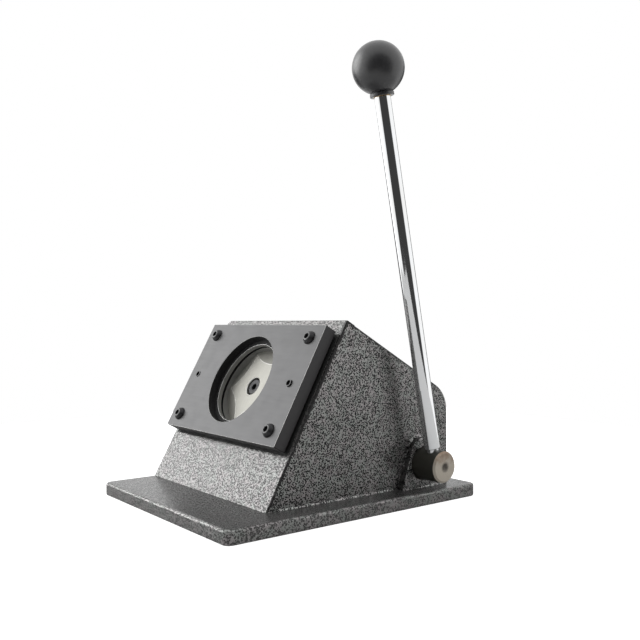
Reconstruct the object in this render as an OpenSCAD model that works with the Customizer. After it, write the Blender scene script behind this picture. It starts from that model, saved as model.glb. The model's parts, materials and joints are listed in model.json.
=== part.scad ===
// Stand type round paper cutter for making button badges.
// A lever turns a cam, the cam drives a ram, and the ram pushes a round punch
// through a sheet of paper into the die plate on the sloping front of the body.
// The origin is the centre of the base plate's underside. X points to the right,
// Y to the back and Z up.

/* [Base plate] */
// Width of the base plate, left to right
base_w = 187; // [183:1:190]
// Depth of the base plate, front to back
base_d = 231; // [228:1:260]
// Thickness of the base plate
base_t = 10; // [8:1:10]
// Radius of the upright corners of the base plate
base_corner_r = 6; // [4:1:9]
// Radius of the rounded top edge of the base plate
base_edge_r = 2; // [1:0.5:4]
// Width of the access opening under the mechanism
access_w = 100; // [80:1:110]
// Depth of the access opening under the mechanism
access_d = 88; // [60:1:90]
// Thickness of the cover that closes the access opening
cover_t = 2; // [1.5:0.5:3]

/* [Body] */
// Width of the body, left to right
body_w = 165; // [162:1:168]
// Angle of the front face above the table
slope_angle = 61; // [60:0.5:62]
// Length of the front face, from the base plate to the apex
slope_len = 147.6; // [145:0.2:152]
// Distance of the foot of the front face in front of the centre
foot_front = 71.6; // [68:0.2:74]
// Distance of the back face behind the centre
back_y = 105.5; // [104:0.5:106]
// Outer radius of the bend between the roof and the back
bend_r = 24; // [18:1:28]
// Thickness of the front plate
front_t = 8; // [7:0.5:9]
// Thickness of the side plates
side_t = 5; // [4:0.5:6]
// Thickness of the bent roof and back plate
roof_t = 4; // [3:0.5:5]
// Size of the cut corner at the top left of the front plate
corner_cut = 5; // [2:0.5:7]
// Leg length of the weld beads
weld_leg = 3; // [2:0.5:4]

/* [Die plate] */
// Width of the die plate
die_w = 156.4; // [152:0.2:158]
// Height of the die plate along the slope
die_h = 95; // [93:0.5:98]
// Thickness of the die plate
die_t = 10; // [9:0.2:11]
// Gap between the front plate and the die plate, for the paper
paper_gap = 2.1; // [1.5:0.1:3]
// Distance of the die plate's centre to the left of the base centre
die_left = 11.5; // [10:0.5:13]
// Spacing of the fixing screws across the die plate
screw_span_x = 129.6; // [126:0.2:134]
// Spacing of the fixing screws along the slope
screw_span_s = 73.6; // [72:0.2:76]
// Spacing of the two threaded holes beside the window
guide_span = 131; // [128:0.5:134]
// Core radius of the two threaded holes, for an M5 thread
guide_r = 2.1; // [1.65:0.05:2.5]
// Radius of the relief in front of the cutting bore
window_r = 37; // [35:0.5:38]
// Depth of the relief in front of the cutting bore
window_depth = 6.5; // [5:0.1:7]

/* [Punch and ram] */
// Radius of the punch, half the width of the cut disc
punch_r = 33; // [30:0.5:34]
// Length of the punch
punch_len = 36; // [34:1:38]
// Distance of the punch axis to the left of the base centre
punch_left = 12.6; // [11:0.2:14]
// Height of the punch axis along the front face
punch_s = 89.3; // [88:0.1:91]
// Depth of the punch face below the front plate at rest
punch_rest = 2; // [1:0.5:4]
// Travel of the punch
stroke = 12; // [10:0.5:12]
// Number of scallops ground into the punch face
scallop_count = 5; // [3:1:6]
// Radius of the grinding wheel that made the scallops
scallop_r = 165; // [120:5:200]
// Slope of the scallops towards the rim
scallop_tilt = 15; // [10:1:18]
// Distance of the scallops from the punch axis
scallop_start = 20.8; // [19:0.2:24]
// Width of the ram plate
ram_w = 120; // [116:1:122]
// Height of the ram plate along the slope
ram_h = 68; // [60:1:70]
// Thickness of the ram plate
ram_t = 14; // [12:1:14]

/* [Cam and roller] */
// Turn of the lever from rest to the end of the stroke
lever_sweep = 60; // [55:1:62]
// Distance from the shaft axis to the roller axis at rest
roller_rest = 27; // [26.5:0.5:28]
// Radius of the cam roller
roller_r = 9; // [8:0.5:9.5]
// Width of the cam roller
roller_w = 12; // [10:1:14]
// Width of the cam
cam_w = 10; // [8:1:10]
// Radius of the roller pin
roller_pin_r = 4; // [3:0.5:4.5]
// Thickness of each yoke arm beside the roller
arm_t = 8; // [6:1:10]

/* [Shaft and bearings] */
// Radius of the lever shaft
shaft_r = 12; // [11.5:0.5:12]
// Distance of the shaft axis behind the base centre
shaft_y = 71.8; // [71:0.2:73]
// Height of the shaft axis
shaft_z = 28.2; // [28:0.2:30]
// Distance of the shaft's right end from the base centre
shaft_end = 100; // [98:0.5:104]
// Thickness of the bearing plate on the right side
bearing_t = 6.1; // [5:0.1:8]
// Radius of the rounded top of the bearing plate
bearing_r = 12.5; // [12:0.5:14]
// Distance of the centre of the rounded top above the shaft axis
bearing_rise = 7.4; // [6.4:0.2:9]
// Width of the bearing plate's foot
bearing_foot = 44; // [42:0.5:56]

/* [Lever and knob] */
// Distance of the lever to the right of the base centre
lever_x = 89.2; // [88:0.2:91]
// Forward lean of the lever at rest
lever_lean = 11.25; // [8:0.25:14]
// Distance from the shaft axis to the centre of the knob
lever_len = 297.5; // [280:0.5:320]
// Radius of the lever rod
rod_r = 6; // [5.5:0.5:6]
// Radius of the ball knob
knob_r = 19; // [17:0.5:22]
// Radius of the collar under the knob
knob_collar_r = 8.8; // [8.5:0.1:10]

/* [Guides and springs] */
// Radius of the guide posts
post_r = 6; // [5:0.5:6]
// Distance of each guide post from the punch axis
post_span = 46; // [45:0.5:48]
// Mean radius of the return springs
spring_r = 8.4; // [8.3:0.1:8.8]
// Radius of the spring wire
wire_r = 1; // [0.8:0.1:1.1]
// Number of turns in each return spring
spring_turns = 6.5; // [5:0.5:7]

/* [Hidden] */
$fn = 96;

// Clearances: a running fit, a fixed fit and a gap between parts that pass each other
run_gap = 0.05;
fixed_gap = 0.05;
free_gap = 0.5;
// Overlap of a cutting shape past the surface that it cuts
cut = 1;

// Body outline, in Y and Z
slope_cos = cos(slope_angle);
slope_sin = sin(slope_angle);
apex = [-foot_front + slope_len * slope_cos, base_t + slope_len * slope_sin];
bend_y = back_y - bend_r;
bend_z = apex[1] - (bend_y - apex[0]) * slope_cos / slope_sin - bend_r / slope_sin;
bend_steps = 20;
body_left = -base_w / 2;
body_right = body_left + body_w;
inner_left = body_left + side_t;
inner_right = body_right - side_t;

// Press frame: the line from the shaft axis to the front face, square to that face
punch_x = -punch_left;
window_y = -foot_front + punch_s * slope_cos;
window_z = base_t + punch_s * slope_sin;
press_len = (shaft_y - window_y) * slope_sin + (window_z - shaft_z) * slope_cos;
punch_rise = (window_z - shaft_z) * slope_sin - (shaft_y - window_y) * slope_cos;

// Ram and guides, as distances from the shaft axis along the press frame
punch_back = press_len - punch_rest - punch_len;
ram_back = punch_back - ram_t;
bush_flange_t = 2;
bush_flange_r = 11;
bush_r = 9;
post_seat = 5;
post_shoulder = ram_back - free_gap;
post_top = press_len - front_t + post_seat;
washer_t = 2;
nut_h = 6.5;
nut_r = 7.5;
post_thread_r = 4;
arm_h = 24;
arm_end = roller_rest - 8;
pin_stub = 2.5;
clip_t = 1;
clip_h = 2.5;
clip_play = 0.2;

// Cam: rise for each degree, and the angles where the ramp begins and ends,
// measured forward from straight up
cam_rise = stroke / lever_sweep;
cam_slope = cam_rise * 180 / PI;
cam_low = slope_angle + 12;
cam_high = slope_angle - lever_sweep - 6;
cam_gap = 0.2;
cam_step = 2;
hub_step = 4;
cam_hub_r = cam_pitch(cam_low) - roller_r - cam_gap;
cam_back_angle = cam_high - 62;
key_w = 6;
key_h = 6;
key_sink = 3.5;

// Shaft fittings
bush_wall = 3;
bush_lip_r = shaft_r + 5.5;
bush_lip_t = 3;
collar_r = 17;
collar_w = 12;
collar_left = inner_left + bush_lip_t + free_gap;
stop_collar_x = inner_right - bush_lip_t - free_gap - collar_w;
set_screw_r = 3;
set_screw_h = collar_r - shaft_r - free_gap;
lug_w = 10;
lug_r = 30;
stop_pin_r = 4;
stop_pin_ring = 26;
stop_pin_sink = 3.5;
stop_pin_reach = 18;
stop_gap = 0.3;
stop_angle = lever_sweep / 2 + asin((lug_w / 2 + stop_pin_r + stop_gap) / stop_pin_ring);
centre_hole_r = 2.6;
centre_hole_h = 2.5;
shaft_chamfer = 1.4;
lever_socket = 6;
bearing_half = bearing_foot / 2;
bearing_drop = shaft_z + bearing_rise - base_t;
bearing_reach = norm([bearing_half, bearing_drop]);
bearing_tangent = 180 + atan2(bearing_drop, bearing_half) - acos(bearing_r / bearing_reach);
weld_start = 20;
weld_break = 1;

// Lever
thread_foot = 1 - lever_socket;
neck_r = 4.6;
neck_foot = shaft_r - 1;
neck_end = shaft_r + 2;
neck_cone = 0.5;
thread_r = 4.9;
knob_collar_h = 1.2;
knob_collar_lap = 1.5;
top_thread = 14;
knob_foot = lever_len - knob_r - knob_collar_h;
insert_r = 6.5;
insert_h = 20;

// Screws, in the proportions of metric socket cap and button head screws
head_share = 5 / 3;
socket_share = 0.96;
button_head_share = 1.75;
button_height_share = 1.1;
button_socket_share = 0.77;
button_edge_share = 0.17;
button_flat_share = 0.6;
screw_play = 0.3;
die_screw_r = 3;
die_screw_grip = 18;
punch_screw_r = 4;
punch_screw_grip = 40;
punch_sink = 9;
punch_sink_play = 0.8;
cover_screw_r = 2;
cover_screw_grip = 7;
cover_screw_inset = 6;
gap_washer_r = 7;
dowel_r = 3;
dowel_grip = 6;
die_dowel_x = 50;
die_dowel_s = 40;
punch_dowel_x = 20;

// Access opening, centred under the mechanism
access_x = punch_x;
access_y = 50;
cover_lip = 12;
cover_play = 0.3;

function unit(a) = [cos(a), sin(a)];
function cam_pitch(a) = roller_rest + cam_rise * (slope_angle - a);
function forward(a) = [-sin(a), cos(a)];
function forward_turn(a) = [-cos(a), -sin(a)];
function cam_point(a) =
    let (r = cam_pitch(a), n = r * forward(a) + cam_slope * forward_turn(a))
    r * forward(a) - (roller_r + cam_gap) * n / norm(n);

// Extrudes an outline drawn in Y and Z along X, from x to x + w
module along_x(x, w) {
    translate([x, 0, 0])
        rotate([90, 0, 90])
            linear_extrude(w) children();
}

// A round bar along X
module bar_x(x, w, r) {
    translate([x, 0, 0])
        rotate([0, 90, 0])
            cylinder(r = r, h = w);
}

// Frame on the shaft axis, with Z square to the front face
module press_frame() {
    translate([punch_x, shaft_y, shaft_z])
        rotate([slope_angle, 0, 0]) children();
}

// Frame on the front face at x and at a distance s up the slope, with Z pointing out
module face_frame(x, s) {
    translate([x, -foot_front + s * slope_cos, base_t + s * slope_sin])
        rotate([slope_angle, 0, 0]) children();
}

module on_shaft() {
    translate([0, shaft_y, shaft_z]) children();
}

module on_lever() {
    translate([lever_x, shaft_y, shaft_z])
        rotate([lever_lean, 0, 0]) children();
}

// Side view of the body, set in from the front and from the roof and back
module body_outline(front_in, roof_in, drop = 0) {
    arc_r = bend_r - roof_in;
    polygon([
        [-foot_front + (front_in - drop * slope_cos) / slope_sin, base_t - drop],
        apex + front_in * [slope_sin, -slope_cos] - roof_in * [slope_cos, slope_sin],
        for (i = [bend_steps : -1 : 0])
            [bend_y, bend_z] + arc_r * unit(slope_angle * i / bend_steps),
        [bend_y + arc_r, base_t - drop]
    ]);
}

// Socket cap screw: head on the z = 0 plane, shank below it
module cap_screw(r, grip) {
    head_r = r * head_share;
    head_h = r * 2;
    socket_r = r * socket_share;
    edge = r / 5;
    difference() {
        union() {
            cylinder(r = head_r, h = head_h - edge);
            translate([0, 0, head_h - edge])
                cylinder(r1 = head_r, r2 = head_r - edge, h = edge);
            translate([0, 0, -grip]) cylinder(r = r, h = grip);
        }
        translate([0, 0, head_h / 2])
            cylinder(r = socket_r, h = head_h, $fn = 6);
    }
}

// Socket button head screw: domed head on the z = 0 plane, shank below it
module button_screw(r, grip) {
    head_r = r * button_head_share;
    head_h = r * button_height_share;
    edge = head_h * button_edge_share;
    flat_r = head_r * button_flat_share;
    dome_z = (pow(flat_r, 2) + pow(head_h, 2) - pow(head_r, 2) - pow(edge, 2))
        / (2 * (head_h - edge));
    dome_steps = 12;
    start = atan2(edge - dome_z, head_r);
    end = atan2(head_h - dome_z, flat_r);
    difference() {
        rotate_extrude(convexity = 4)
            polygon([
                [0, -grip], [r, -grip], [r, 0], [head_r, 0],
                for (i = [0 : dome_steps])
                    [0, dome_z] + norm([head_r, edge - dome_z])
                        * unit(start + (end - start) * i / dome_steps),
                [0, head_h]
            ]);
        translate([0, 0, head_h / 2])
            cylinder(r = r * button_socket_share, h = head_h, $fn = 6);
    }
}

module ring(outer, inner, h) {
    difference() {
        cylinder(r = outer, h = h);
        translate([0, 0, -cut]) cylinder(r = inner, h = h + 2 * cut);
    }
}

module rounded_slab(w, d, h, r) {
    linear_extrude(h) {
        square([w - 2 * r, d], center = true);
        square([w, d - 2 * r], center = true);
        for (x = [-1, 1], y = [-1, 1])
            translate([x * (w / 2 - r), y * (d / 2 - r)]) circle(r = r);
    }
}

module base_edge_ring() {
    rotate_extrude($fn = 48)
        intersection() {
            translate([base_corner_r - base_edge_r, 0]) circle(r = base_edge_r, $fn = 32);
            square(base_corner_r);
        }
}

module at_cover_screws() {
    for (x = [-1, 1], y = [-1, 1])
        translate([
            access_x + x * (access_w / 2 + cover_screw_inset),
            access_y + y * (access_d / 2 + cover_screw_inset),
            0
        ]) children();
}

module base_plate() {
    rounded_t = base_t - base_edge_r;
    color("dimgray")
    difference() {
        union() {
            rounded_slab(base_w, base_d, rounded_t, base_corner_r);
            hull()
                for (x = [-1, 1], y = [-1, 1])
                    translate([
                        x * (base_w / 2 - base_corner_r),
                        y * (base_d / 2 - base_corner_r),
                        rounded_t
                    ]) base_edge_ring();
        }
        translate([access_x - access_w / 2, access_y - access_d / 2, -cut])
            cube([access_w, access_d, base_t + 2 * cut]);
        translate([
            access_x - access_w / 2 - cover_lip,
            access_y - access_d / 2 - cover_lip,
            -cut
        ]) cube([access_w + 2 * cover_lip, access_d + 2 * cover_lip, cover_t + cut]);
        at_cover_screws() cylinder(r = cover_screw_r + fixed_gap, h = base_t - cut);
    }
}

module bottom_cover() {
    lip = cover_lip - cover_play;
    color("darkgray")
    difference() {
        translate([access_x - access_w / 2 - lip, access_y - access_d / 2 - lip, cover_play])
            cube([access_w + 2 * lip, access_d + 2 * lip, cover_t - cover_play]);
        at_cover_screws() translate([0, 0, -cut])
            cylinder(r = cover_screw_r + 2 * fixed_gap, h = base_t);
        at_cover_screws() translate([0, 0, cover_play])
            cylinder(r1 = cover_screw_r * 1.9, r2 = cover_screw_r, h = cover_t - cover_play);
    }
}

module bottom_cover_screws() {
    head_h = cover_t - cover_play;
    color("silver")
    at_cover_screws() translate([0, 0, cover_play])
        difference() {
            union() {
                cylinder(r1 = cover_screw_r * 1.85, r2 = cover_screw_r - 0.1, h = head_h);
                cylinder(r = cover_screw_r, h = cover_screw_grip);
            }
            translate([0, 0, -cut])
                cylinder(r = cover_screw_r * 0.7, h = head_h, $fn = 6);
        }
}

module at_die_screws() {
    for (x = [-1, 1], s = [-1, 1])
        face_frame(-die_left + x * screw_span_x / 2, punch_s + s * screw_span_s / 2)
            children();
}

module at_die_dowels() {
    for (x = [-1, 1])
        face_frame(-die_left + x * die_dowel_x, punch_s - die_dowel_s) children();
}

module at_posts() {
    for (x = [-1, 1])
        press_frame() translate([x * post_span, 0, 0]) children();
}

module front_plate() {
    color("darkgray")
    difference() {
        along_x(body_left, body_w)
            polygon([
                [-foot_front, base_t],
                apex,
                apex + front_t * [slope_sin, -slope_cos],
                [-foot_front + front_t / slope_sin, base_t]
            ]);
        face_frame(punch_x, punch_s) translate([0, 0, -front_t - cut])
            cylinder(r = punch_r + run_gap, h = front_t + 2 * cut);
        at_die_screws() translate([0, 0, -front_t - cut])
            cylinder(r = die_screw_r + fixed_gap, h = front_t + 2 * cut);
        at_die_dowels() translate([0, 0, -dowel_grip])
            cylinder(r = dowel_r + fixed_gap, h = dowel_grip + cut);
        at_posts() translate([0, 0, press_len - front_t - cut])
            cylinder(r = post_r + fixed_gap, h = post_seat + cut);
        face_frame(body_left, slope_len) rotate([0, 0, 45])
            cube([corner_cut * sqrt(2), corner_cut * sqrt(2), 3 * front_t], center = true);
    }
}

module left_side_plate() {
    color("dimgray")
    difference() {
        along_x(body_left, side_t) body_outline(front_t, roof_t);
        on_shaft() bar_x(body_left - cut, side_t + 2 * cut, shaft_r + bush_wall);
    }
}

module right_side_plate() {
    color("dimgray")
    difference() {
        along_x(inner_right, side_t) body_outline(front_t, roof_t);
        on_shaft() bar_x(inner_right - cut, side_t + 2 * cut, shaft_r + bush_wall);
        at_stop_pins() bar_x(-cut, stop_pin_sink + cut, stop_pin_r + fixed_gap);
    }
}

module roof_plate() {
    color("dimgray")
    along_x(body_left, body_w)
        difference() {
            body_outline(front_t, 0);
            body_outline(front_t - cut, roof_t, cut);
        }
}

// Round top above the shaft, with straight flanks down to a wider foot
module bearing_outline() {
    top_steps = 48;
    sweep = 2 * (bearing_tangent - 90);
    polygon([
        [-bearing_half, -bearing_drop],
        for (i = [0 : top_steps]) bearing_r * unit(bearing_tangent - sweep * i / top_steps),
        [bearing_half, -bearing_drop]
    ]);
}

module on_bearing_top() {
    on_shaft() translate([0, 0, bearing_rise]) children();
}

module bearing_plate() {
    color("dimgray")
    on_bearing_top()
        along_x(body_right, bearing_t)
            difference() {
                bearing_outline();
                translate([0, -bearing_rise]) circle(r = shaft_r + free_gap);
            }
}

module weld_prism(len) {
    rotate([-90, 0, 0])
        linear_extrude(len)
            polygon([[0, 0], [weld_leg, 0], [0, -weld_leg]]);
}

module weld_beads() {
    side_foot = -foot_front + front_t / slope_sin;
    flank_bead = sqrt(pow(bearing_reach, 2) - pow(bearing_r, 2)) / 2;
    color("slategray") {
        translate([body_right, side_foot, base_t])
            weld_prism(shaft_y - bearing_half - side_foot - weld_leg);
        translate([body_right + bearing_t, shaft_y - bearing_half, base_t])
            weld_prism(bearing_foot);
        on_bearing_top() translate([body_right, 0, 0]) rotate([90, 0, 90]) {
            rotate([0, 0, weld_start]) rotate_extrude(angle = bearing_tangent - weld_start)
                translate([bearing_r, 0])
                    polygon([[0, 0], [weld_leg, 0], [0, weld_leg]]);
            rotate([0, 0, bearing_tangent]) translate([bearing_r, weld_break, 0])
                weld_prism(flank_bead - weld_break);
        }
    }
}

module die_plate() {
    face_z = paper_gap + die_t;
    color("gray")
    difference() {
        face_frame(-die_left, punch_s)
            translate([-die_w / 2, -die_h / 2, paper_gap]) cube([die_w, die_h, die_t]);
        face_frame(punch_x, punch_s) {
            cylinder(r = punch_r + run_gap, h = face_z + cut);
            translate([0, 0, face_z - window_depth])
                cylinder(r = window_r, h = window_depth + cut);
        }
        at_die_screws() cylinder(r = die_screw_r + screw_play, h = face_z + cut);
        at_die_dowels() cylinder(r = dowel_r + fixed_gap, h = paper_gap + dowel_grip);
        for (x = [-1, 1])
            face_frame(punch_x + x * guide_span / 2, punch_s)
                cylinder(r = guide_r, h = face_z + cut);
    }
}

module gap_washers() {
    color("silver")
    at_die_screws() ring(gap_washer_r, die_screw_r + screw_play, paper_gap);
}

module die_screws() {
    color("black")
    at_die_screws() translate([0, 0, paper_gap + die_t])
        button_screw(die_screw_r, die_screw_grip);
}

module die_dowels() {
    grip = dowel_grip - fixed_gap;
    color("silver")
    at_die_dowels() translate([0, 0, -grip])
        cylinder(r = dowel_r, h = paper_gap + 2 * grip);
}

// Flanged bush in a side plate, with its flange on the inside
module shaft_bush(plate_x, lip_x) {
    color("goldenrod")
    on_shaft()
        difference() {
            union() {
                bar_x(plate_x, side_t, shaft_r + bush_wall - fixed_gap);
                bar_x(lip_x, bush_lip_t, bush_lip_r);
            }
            bar_x(body_left - cut, body_w + 2 * cut, shaft_r + run_gap);
        }
}

module left_bush() {
    shaft_bush(body_left, inner_left);
}

module right_bush() {
    shaft_bush(inner_right, inner_right - bush_lip_t);
}

module at_stop_pins() {
    for (a = [-stop_angle, stop_angle])
        on_shaft()
            translate([inner_right, 0, 0] + stop_pin_ring * [0, -sin(a), cos(a)]) children();
}

module stop_pins() {
    sink = stop_pin_sink - fixed_gap;
    color("silver")
    at_stop_pins()
        bar_x(sink - stop_pin_sink - stop_pin_reach, stop_pin_sink + stop_pin_reach, stop_pin_r);
}

module guide_posts() {
    thread_len = washer_t + nut_h + post_thread_r / 2;
    color("silver")
    at_posts() {
        translate([0, 0, post_shoulder])
            cylinder(r = post_r, h = post_top - fixed_gap - post_shoulder);
        translate([0, 0, post_shoulder - thread_len])
            cylinder(r = post_thread_r, h = thread_len);
    }
}

module post_washers() {
    color("silver")
    at_posts() translate([0, 0, post_shoulder - washer_t])
        ring(bush_flange_r, post_thread_r + screw_play, washer_t);
}

module post_nuts() {
    color("silver")
    at_posts() translate([0, 0, post_shoulder - washer_t - nut_h])
        difference() {
            cylinder(r = nut_r, h = nut_h, $fn = 6);
            translate([0, 0, -cut])
                cylinder(r = post_thread_r + fixed_gap, h = nut_h + 2 * cut, $fn = 96);
        }
}

module main_shaft() {
    left_end = body_left + free_gap;
    color("#3a3734")
    on_shaft()
        difference() {
            union() {
                bar_x(left_end, shaft_end - shaft_chamfer - left_end, shaft_r);
                translate([shaft_end - shaft_chamfer, 0, 0]) rotate([0, 90, 0])
                    cylinder(r1 = shaft_r, r2 = shaft_r - shaft_chamfer, h = shaft_chamfer);
            }
            bar_x(shaft_end - centre_hole_h, centre_hole_h + cut, centre_hole_r);
            translate([lever_x, 0, 0]) rotate([lever_lean, 0, 0])
                translate([0, 0, -lever_socket])
                    cylinder(r = thread_r + fixed_gap, h = 2 * shaft_r);
            translate([punch_x - cam_w / 2, -key_w / 2, shaft_r - key_sink])
                cube([cam_w, key_w, key_h]);
        }
}

module cam() {
    color("slategray")
    on_shaft()
        along_x(punch_x - cam_w / 2, cam_w)
            difference() {
                polygon([
                    for (a = [cam_low : -cam_step : cam_high]) cam_point(a),
                    for (a = [cam_back_angle : -hub_step : cam_low - 360])
                        cam_hub_r * forward(a)
                ]);
                circle(r = shaft_r + fixed_gap);
                translate([-key_w / 2 - fixed_gap, 0])
                    square([key_w + 2 * fixed_gap, shaft_r - key_sink + key_h + fixed_gap]);
            }
}

module cam_key() {
    color("silver")
    on_shaft()
        translate([
            punch_x - cam_w / 2 + fixed_gap,
            -key_w / 2 + fixed_gap,
            shaft_r - key_sink + fixed_gap
        ]) cube([cam_w - 2 * fixed_gap, key_w - 2 * fixed_gap, key_h - 2 * fixed_gap]);
}

module set_screw_hole(x) {
    translate([x + collar_w / 2, 0, 0])
        rotate([-90, 0, 0]) cylinder(r = set_screw_r + fixed_gap, h = 2 * collar_r);
}

module locating_collar() {
    color("silver")
    on_shaft()
        difference() {
            bar_x(collar_left, collar_w, collar_r);
            bar_x(collar_left - cut, collar_w + 2 * cut, shaft_r + fixed_gap);
            set_screw_hole(collar_left);
        }
}

module stop_collar() {
    color("silver")
    on_shaft()
        difference() {
            along_x(stop_collar_x, collar_w)
                difference() {
                    union() {
                        circle(r = collar_r);
                        rotate(-lever_sweep / 2) translate([-lug_w / 2, 0])
                            square([lug_w, lug_r]);
                    }
                    circle(r = shaft_r + fixed_gap);
                }
            set_screw_hole(stop_collar_x);
        }
}

module collar_set_screws() {
    color("black")
    on_shaft()
        for (x = [collar_left, stop_collar_x])
            translate([x + collar_w / 2, shaft_r + 2 * fixed_gap, 0])
                rotate([-90, 0, 0])
                    difference() {
                        cylinder(r = set_screw_r, h = set_screw_h);
                        translate([0, 0, set_screw_h / 2])
                            cylinder(r = set_screw_r / 2, h = set_screw_h, $fn = 6);
                    }
}

module lever_rod() {
    color("gainsboro")
    on_lever() {
        translate([0, 0, thread_foot]) cylinder(r = thread_r, h = neck_foot - thread_foot);
        translate([0, 0, neck_foot]) cylinder(r = neck_r, h = neck_end - neck_cone - neck_foot);
        translate([0, 0, neck_end - neck_cone])
            cylinder(r1 = neck_r, r2 = rod_r, h = neck_cone);
        translate([0, 0, neck_end]) cylinder(r = rod_r, h = knob_foot - neck_end);
        translate([0, 0, knob_foot]) cylinder(r = thread_r, h = top_thread);
    }
}

module ball_knob() {
    color("#1b1b1c")
    on_lever()
        difference() {
            union() {
                translate([0, 0, lever_len]) sphere(r = knob_r);
                translate([0, 0, knob_foot])
                    cylinder(r = knob_collar_r, h = knob_collar_h + knob_collar_lap);
            }
            translate([0, 0, knob_foot - cut])
                cylinder(r = insert_r + fixed_gap, h = insert_h + cut + fixed_gap);
        }
}

module knob_insert() {
    color("goldenrod")
    on_lever()
        translate([0, 0, knob_foot]) ring(insert_r, thread_r + fixed_gap, insert_h);
}

module at_punch() {
    press_frame() translate([0, punch_rise, 0]) children();
}

module at_punch_dowels() {
    for (x = [-punch_dowel_x, punch_dowel_x])
        at_punch() translate([x, 0, punch_back]) children();
}

module ram() {
    arm_x = roller_w / 2 + free_gap;
    color("slategray")
    difference() {
        press_frame() {
            translate([-ram_w / 2, -ram_h / 2, ram_back]) cube([ram_w, ram_h, ram_t]);
            for (x = [-arm_x - arm_t, arm_x])
                translate([x, -arm_h / 2, arm_end])
                    cube([arm_t, arm_h, ram_back - arm_end + cut]);
        }
        at_posts() translate([0, 0, ram_back - cut])
            cylinder(r = bush_r + fixed_gap, h = ram_t + 2 * cut);
        at_punch() translate([0, 0, ram_back - cut])
            cylinder(r = punch_screw_r + fixed_gap, h = ram_t + 2 * cut);
        at_punch_dowels() translate([0, 0, -dowel_grip])
            cylinder(r = dowel_r + fixed_gap, h = dowel_grip + cut);
        press_frame() translate([0, 0, roller_rest])
            bar_x(-ram_w / 2, ram_w, roller_pin_r + fixed_gap);
    }
}

module ram_bushes() {
    color("goldenrod")
    at_posts()
        difference() {
            union() {
                translate([0, 0, ram_back]) cylinder(r = bush_r, h = ram_t);
                translate([0, 0, punch_back]) cylinder(r = bush_flange_r, h = bush_flange_t);
            }
            translate([0, 0, ram_back - cut])
                cylinder(r = post_r + run_gap, h = ram_t + bush_flange_t + 2 * cut);
        }
}

module punch() {
    scallop_turn = 152;
    color("#d8d6cf")
    at_punch() translate([0, 0, punch_back])
        difference() {
            cylinder(r = punch_r, h = punch_len);
            for (i = [0 : scallop_count - 1])
                rotate([0, 0, scallop_turn + i * 360 / scallop_count])
                    translate([scallop_start, 0, punch_len])
                        rotate([0, scallop_tilt, 0]) translate([0, 0, scallop_r])
                            rotate([0, 90, 0])
                                cylinder(r = scallop_r, h = 3 * punch_r, center = true, $fn = 360);
            translate([0, 0, -cut])
                cylinder(r = punch_screw_r + screw_play, h = punch_len + 2 * cut);
            translate([0, 0, punch_len - punch_sink])
                cylinder(r = punch_screw_r * head_share + punch_sink_play, h = punch_sink + cut);
            for (x = [-punch_dowel_x, punch_dowel_x])
                translate([x, 0, -cut])
                    cylinder(r = dowel_r + fixed_gap, h = dowel_grip + cut);
        }
}

module punch_screw() {
    color("#2b2b2b")
    at_punch() translate([0, 0, punch_back + punch_len - punch_sink])
        cap_screw(punch_screw_r, punch_screw_grip);
}

module punch_dowels() {
    grip = dowel_grip - fixed_gap;
    color("silver")
    at_punch_dowels() translate([0, 0, -grip]) cylinder(r = dowel_r, h = 2 * grip);
}

module roller_pin() {
    half = roller_w / 2 + free_gap + arm_t + pin_stub;
    color("silver")
    press_frame() translate([0, 0, roller_rest]) bar_x(-half, 2 * half, roller_pin_r);
}

module roller_clips() {
    clip_x = roller_w / 2 + free_gap + arm_t + clip_play;
    color("black")
    press_frame() translate([0, 0, roller_rest])
        for (x = [-clip_x - clip_t, clip_x])
            difference() {
                bar_x(x, clip_t, roller_pin_r + clip_h);
                bar_x(x - cut, clip_t + 2 * cut, roller_pin_r + fixed_gap);
            }
}

module roller() {
    color("lightsteelblue")
    press_frame() translate([0, 0, roller_rest])
        difference() {
            bar_x(-roller_w / 2, roller_w, roller_r);
            bar_x(-roller_w, 2 * roller_w, roller_pin_r + run_gap);
        }
}

// Helical wire along Z, swept with an eight-sided section
module coil(r, wire, turns, len) {
    sides = 8;
    steps = ceil(turns * 18);
    rise = len - 2 * wire;
    points = [
        for (i = [0 : steps], k = [0 : sides - 1])
            let (a = i / steps * turns * 360, b = k / sides * 360, q = r + wire * cos(b))
            [q * cos(a), q * sin(a), wire + rise * i / steps + wire * sin(b)]
    ];
    walls = [
        for (i = [0 : steps - 1], k = [0 : sides - 1])
            let (m = (k + 1) % sides)
            [i * sides + k, (i + 1) * sides + k, (i + 1) * sides + m, i * sides + m]
    ];
    ends = [
        [for (k = [0 : sides - 1]) k],
        [for (k = [sides - 1 : -1 : 0]) steps * sides + k]
    ];
    polyhedron(points = points, faces = concat(walls, ends), convexity = 4);
}

module return_spring(side) {
    seat = punch_back + bush_flange_t + 2 * fixed_gap;
    color("silver")
    press_frame() translate([side * post_span, 0, seat])
        coil(spring_r, wire_r, spring_turns, press_len - front_t - 2 * fixed_gap - seat);
}

module left_return_spring() {
    return_spring(-1);
}

module right_return_spring() {
    return_spring(1);
}

base_plate();
bottom_cover();
bottom_cover_screws();
front_plate();
left_side_plate();
right_side_plate();
roof_plate();
bearing_plate();
weld_beads();
die_plate();
gap_washers();
die_screws();
die_dowels();
left_bush();
right_bush();
stop_pins();
guide_posts();
post_washers();
post_nuts();
main_shaft();
cam();
cam_key();
locating_collar();
stop_collar();
collar_set_screws();
lever_rod();
ball_knob();
knob_insert();
ram();
ram_bushes();
punch();
punch_screw();
punch_dowels();
roller_pin();
roller_clips();
roller();
left_return_spring();
right_return_spring();
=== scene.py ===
"""Stand type round paper cutter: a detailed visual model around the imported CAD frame.

Every size that the CAD frame holds is read from its nodes. The named sizes below are the ones that
only the looks need: edge radii, weld ripples, knurling and the like. All lengths are in metres.
"""

import json
import math
import random

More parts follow.
